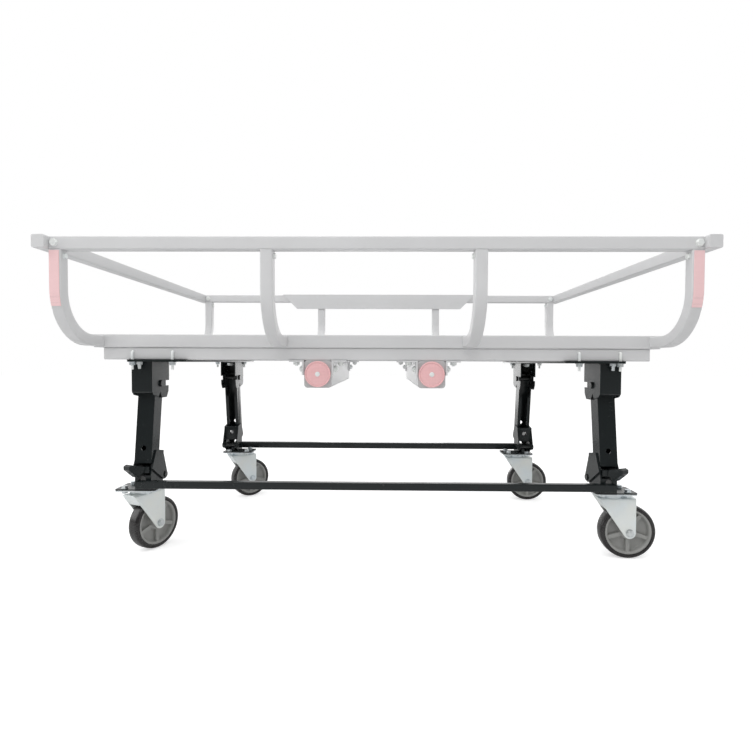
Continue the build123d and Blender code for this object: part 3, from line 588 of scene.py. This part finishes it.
def tyre_rubber(name, colour):
    """Dark resilient tread: matt, a little scuffed, with fine grain."""
    made, tone = new_material(name)
    place = tone.put("ShaderNodeTexCoord", out="Object")
    scuff = noise(tone, place, 55.0, 6.0, 0.7)
    grain = noise(tone, place, 700.0, 3.0, 0.6)
    dusty = tuple(c * 1.5 + 0.006 for c in colour)
    base = tone.sum("MULTIPLY", scuff - 0.45, 2.2, clamp=True).mix(colour, dusty)
    skin = tone.put("ShaderNodeBsdfPrincipled", inputs={
        "Base Color": base, "Roughness": 0.27 + (scuff - 0.5) * 0.3,
        "Normal": bump(tone, grain, 0.2, 0.0002)})
    tone.put("ShaderNodeOutputMaterial", inputs={0: skin})
    return made


def hub_nylon(name, colour):
    """Moulded grey nylon: even, satin, with a trace of flow marks."""
    made, tone = new_material(name)
    place = tone.put("ShaderNodeTexCoord", out="Object")
    flow = noise(tone, place, 30.0, 4.0, 0.6, 0.6)
    grain = noise(tone, place, 800.0, 2.0, 0.5)
    base = flow.mix(tuple(c * 0.9 for c in colour), tuple(c * 1.1 for c in colour))
    skin = tone.put("ShaderNodeBsdfPrincipled", inputs={
        "Base Color": base, "Roughness": 0.46 + (flow - 0.5) * 0.2,
        "Normal": bump(tone, grain, 0.15, 0.0002)})
    tone.put("ShaderNodeOutputMaterial", inputs={0: skin})
    return made


def spoke_tree():
    """Straight ribs set round a hub, as many as asked, from the boss out to the rim."""
    tree = bpy.data.node_groups.new("hub_spokes", "GeometryNodeTree")
    face = tree.interface
    face.new_socket("Seed", in_out="INPUT", socket_type="NodeSocketGeometry")
    face.new_socket("Spokes", in_out="INPUT", socket_type="NodeSocketInt")
    for label in ("Mid Radius", "Reach", "Width", "Depth"):
        face.new_socket(label, in_out="INPUT", socket_type="NodeSocketFloat")
    face.new_socket("Finish", in_out="INPUT", socket_type="NodeSocketMaterial")
    face.new_socket("Geometry", in_out="OUTPUT", socket_type="NodeSocketGeometry")
    make = Tone(tree)
    given = tree.nodes.new("NodeGroupInput")
    ask = {socket.name: Tone(tree, socket) for socket in given.outputs if socket.name}
    sides = make.put("ShaderNodeCombineXYZ", inputs={
        "X": ask["Reach"], "Y": ask["Depth"], "Z": ask["Width"]})
    block = make.put("GeometryNodeMeshCube", inputs={"Size": sides})
    ring = make.put("GeometryNodeMeshLine", inputs={"Count": ask["Spokes"]})
    number = make.put("GeometryNodeInputIndex")
    angle = (number / ask["Spokes"]) * (2 * math.pi) - math.pi / 2
    spot = make.put("ShaderNodeCombineXYZ", inputs={
        "X": make.sum("COSINE", angle, 0.0) * ask["Mid Radius"],
        "Z": make.sum("SINE", angle, 0.0) * ask["Mid Radius"]})
    set_out = make.put("GeometryNodeSetPosition", inputs={"Geometry": ring, "Position": spot})
    turn = make.put("ShaderNodeCombineXYZ", inputs={"Y": angle * -1.0})
    spread = make.put("GeometryNodeInstanceOnPoints", inputs={
        "Points": set_out, "Instance": block, "Rotation": turn})
    real = make.put("GeometryNodeRealizeInstances", inputs={"Geometry": spread})
    done = make.put("GeometryNodeSetMaterial", inputs={
        "Geometry": real, "Material": ask["Finish"]})
    end = tree.nodes.new("NodeGroupOutput")
    tree.links.new(done.out, end.inputs[0])
    return tree


def prism(name, outline, start, end, axis=1):
    """A plate: a flat outline swept from start to end along X, Y or Z, which are 0, 1 and 2."""
    def corner(point, far):
        return (*point[:axis], far, *point[axis:])

    shell = bmesh.new()
    first = [shell.verts.new(corner(point, start)) for point in outline]
    last = [shell.verts.new(corner(point, end)) for point in outline]
    shell.faces.new(first)
    shell.faces.new(list(reversed(last)))
    for i in range(len(outline)):
        j = (i + 1) % len(outline)
        shell.faces.new((first[i], last[i], last[j], first[j]))
    bmesh.ops.recalc_face_normals(shell, faces=shell.faces)
    mesh = bpy.data.meshes.new(name)
    shell.to_mesh(mesh)
    shell.free()
    return mesh


def arc(centre, radius, first, last, steps):
    """Points along part of a circle, angles in degrees."""
    cx, cz = centre
    angles = [math.radians(first + (last - first) * i / steps) for i in range(steps + 1)]
    return [(cx + radius * math.cos(a), cz + radius * math.sin(a)) for a in angles]


tyre_colour = (0.016, 0.0145, 0.0145)
hub_colour = (0.31, 0.312, 0.30)
rubber = tyre_rubber("tyre_rubber", tyre_colour)
nylon = hub_nylon("hub_nylon", hub_colour)
hub_spokes = spoke_tree()
rib_sizes = {"Spokes": 5, "Mid Radius": 0.0305, "Reach": 0.034, "Width": 0.009, "Depth": 0.0236}
wheel_r, trail, king_y = 0.0635, 0.036, 0.248
tyre_half_profile = [
    (0.0, 0.0635), (0.0060, 0.0634), (0.0100, 0.0630), (0.0130, 0.0620), (0.0148, 0.0603),
    (0.0158, 0.0580), (0.0160, 0.0558), (0.0153, 0.0540), (0.0145, 0.0530)]
tyre_profile = [(-w, r) for w, r in reversed(tyre_half_profile[1:])] + tyre_half_profile
hub_half_profile = [
    (0.0145, 0.0531), (0.0151, 0.0510), (0.0151, 0.0498), (0.0142, 0.0484), (0.0122, 0.0472),
    (0.0055, 0.0462), (0.0035, 0.0440), (0.0030, 0.0400), (0.0030, 0.0260), (0.0040, 0.0210),
    (0.0070, 0.0186), (0.0120, 0.0178), (0.0145, 0.0160), (0.0156, 0.0130), (0.0182, 0.0118),
    (0.0182, 0.0056)]
hub_profile = hub_half_profile + [(-w, r) for w, r in reversed(hub_half_profile)]

fork_half, fork_t, crown_z, fork_nose, boss_r = 0.022, 0.003, 0.1447, 0.037, 0.014
skirt_z, bend_out, bend_in = 0.045, 0.005, 0.002
bend_y, bend_z = fork_half - bend_out, crown_z - bend_out
fork_section = (
    [(-fork_half, skirt_z)]
    + arc((-bend_y, bend_z), bend_out, 180, 90, 6) + arc((bend_y, bend_z), bend_out, 90, 0, 6)
    + [(fork_half, skirt_z), (fork_half - fork_t, skirt_z)]
    + arc((bend_y, bend_z), bend_in, 0, 90, 4) + arc((-bend_y, bend_z), bend_in, 90, 180, 4)
    + [(-fork_half + fork_t, skirt_z)])
slope = math.atan2(crown_z - wheel_r, fork_nose + trail)
touch = math.asin(boss_r / math.hypot(crown_z - wheel_r, fork_nose + trail))
tangent_turn = -90 - math.degrees(slope + touch)
over_crown, knife_half = crown_z + 0.01, 0.03
cheek_outline = [(-fork_nose, crown_z)] + arc((trail, wheel_r), boss_r, tangent_turn, 0, 14)
knife_outline = cheek_outline + [(trail + boss_r, over_crown), (-fork_nose, over_crown)]
shell = bpy.data.objects.new("shell", prism("section", fork_section, -0.045, 0.060, 0))
knife = bpy.data.objects.new("knife", prism("knife", knife_outline, -knife_half, knife_half))
scene.collection.objects.link(shell)
scene.collection.objects.link(knife)
cut = shell.modifiers.new("cut", "BOOLEAN")
cut.operation = "INTERSECT"
cut.solver = "EXACT"
cut.object = knife
fork_shell = as_made(shell)
shell.modifiers.clear()
bpy.data.objects.remove(shell)
bpy.data.objects.remove(knife)
nose_reach, nose_top, nose_half = 0.034, crown_z - 0.0012, fork_half - fork_t + 0.0005
drop = Vector((trail + fork_nose - boss_r, wheel_r - crown_z)).normalized() * nose_reach
nose_outline = [
    (-fork_nose + 0.0004, nose_top), (-fork_nose + drop.x, crown_z + drop.y),
    (-fork_nose + drop.x + fork_t, crown_z + drop.y), (-fork_nose + 0.004, nose_top)]
nose = prism("nose", nose_outline, -nose_half, nose_half)
axle_half, axle_r = 0.0222, 0.0050
axle = lathe("axle", [(-axle_half, 0.0), (-axle_half, axle_r), (axle_half, axle_r),
                      (axle_half, 0.0)], 32)
axle.transform(Matrix.Translation((trail, 0, wheel_r)))
fork_mesh = joined("fork", [fork_shell, nose, axle])

plate_low, plate_top, flange_top = 0.153, 0.156, 0.159
bolt_dx, bolt_dy = 0.029, 0.022
race_profile = [
    (plate_low, 0.0), (plate_low, 0.0245), (0.1520, 0.0262), (0.1495, 0.0266),
    (0.1483, 0.0262), (0.1478, 0.0252), (0.1470, 0.0256), (0.1455, 0.0254), (0.1450, 0.0246),
    (0.1450, 0.0060), (0.1414, 0.0060), (0.1414, 0.0110), (0.1380, 0.0108), (0.1366, 0.0090),
    (0.1366, 0.0)]
plate_half_x, plate_half_y, plate_corner = 0.0485, 0.032, 0.005
plate_outline = [
    (sx * (plate_half_x - plate_corner) + plate_corner * math.cos(math.radians(a)),
     sy * (plate_half_y - plate_corner) + plate_corner * math.sin(math.radians(a)))
    for sx, sy, base in ((1, 1, 0), (-1, 1, 90), (-1, -1, 180), (1, -1, 270))
    for a in range(base, base + 91, 18)]
turns = {"near_left": 65.0, "near_right": -3.0, "far_left": 38.0, "far_right": -2.0}
for pair, side, leg_x, out in (("near", -1, near_leg_x, 0.021), ("far", 1, far_leg_x, -0.022)):
    plates = []
    seats = []
    for flank, x_sign in (("left", -1), ("right", 1)):
        key = f"{pair}_{flank}"
        king = Vector((x_sign * (leg_x + out), side * king_y, 0.0))
        turn = Matrix.Translation(king) @ Matrix.Rotation(math.radians(turns[key]), 4, "Z")
        hub_place = turn @ Matrix.Translation((trail, 0, wheel_r))
        placed(key + "_tread", lathe("tread", tyre_profile, 128), rubber,
               key + "_wheel", [key + "_tyre"], 0, hub_place)
        seed = bpy.data.meshes.new("seed")
        ribs = grown(key + "_ribs", seed, hub_spokes, nylon, rib_sizes)
        whole_hub = joined("hub", [lathe("hub", hub_profile, 96), ribs])
        placed(key + "_hub_moulding", whole_hub, nylon,
               key + "_wheel", [key + "_wheel_hub"], 0.0004, hub_place)
        placed(key + "_fork_pressing", fork_mesh.copy(), fork_zinc,
               key + "_swivel", [key + "_fork"], 0.0005, turn)
        reach = turn.to_3x3() @ Vector((0, 1, 0))
        hub_centre = turn @ Vector((trail, 0, wheel_r))
        ends = [(hub_centre + reach * fork_half, reach),
                (hub_centre - reach * fork_half, -reach)]
        fasteners(key + "_axle_nuts", ends, 0.015, 0.0050, 0.0095, 0.0008, 0.005, 0.0012,
                  key + "_swivel", hardware, [])
        race = lathe("race", race_profile, 64)
        race.transform(Matrix.Rotation(math.radians(90), 4, "X"))
        race.transform(Matrix.Translation(king))
        plates.append(race)
        for dx in (-bolt_dx, bolt_dx):
            for dy in (-bolt_dy, bolt_dy):
                seats.append((king + Vector((dx, dy, flange_top)), (0, 0, 1)))
        sheet = prism("sheet", plate_outline, plate_low, plate_top, 2)
        sheet.transform(Matrix.Translation(king))
        plates.append(sheet)
    placed(pair + "_caster_tops", joined("tops", plates), hardware,
           pair + "_foot_pair", [pair + "_caster_plates"], 0.0004)
    fasteners(pair + "_caster_bolt_heads", seats, 0.013, 0.0050, 0.0080, 0.0016, 0.002, 0.0002,
              pair + "_foot_pair", hardware, [pair + "_caster_bolts"])
    nuts = [(Vector((seat.x, seat.y, plate_low)), (0, 0, -1)) for seat, aim in seats]
    fasteners(pair + "_caster_nuts", nuts, 0.013, 0.0045, 0.0078, 0.0005, 0.004, 0.0010,
              pair + "_foot_pair", hardware, [])

size = {"cad": [list(v) for v in cad_box], "visual": [list(v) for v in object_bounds()]}
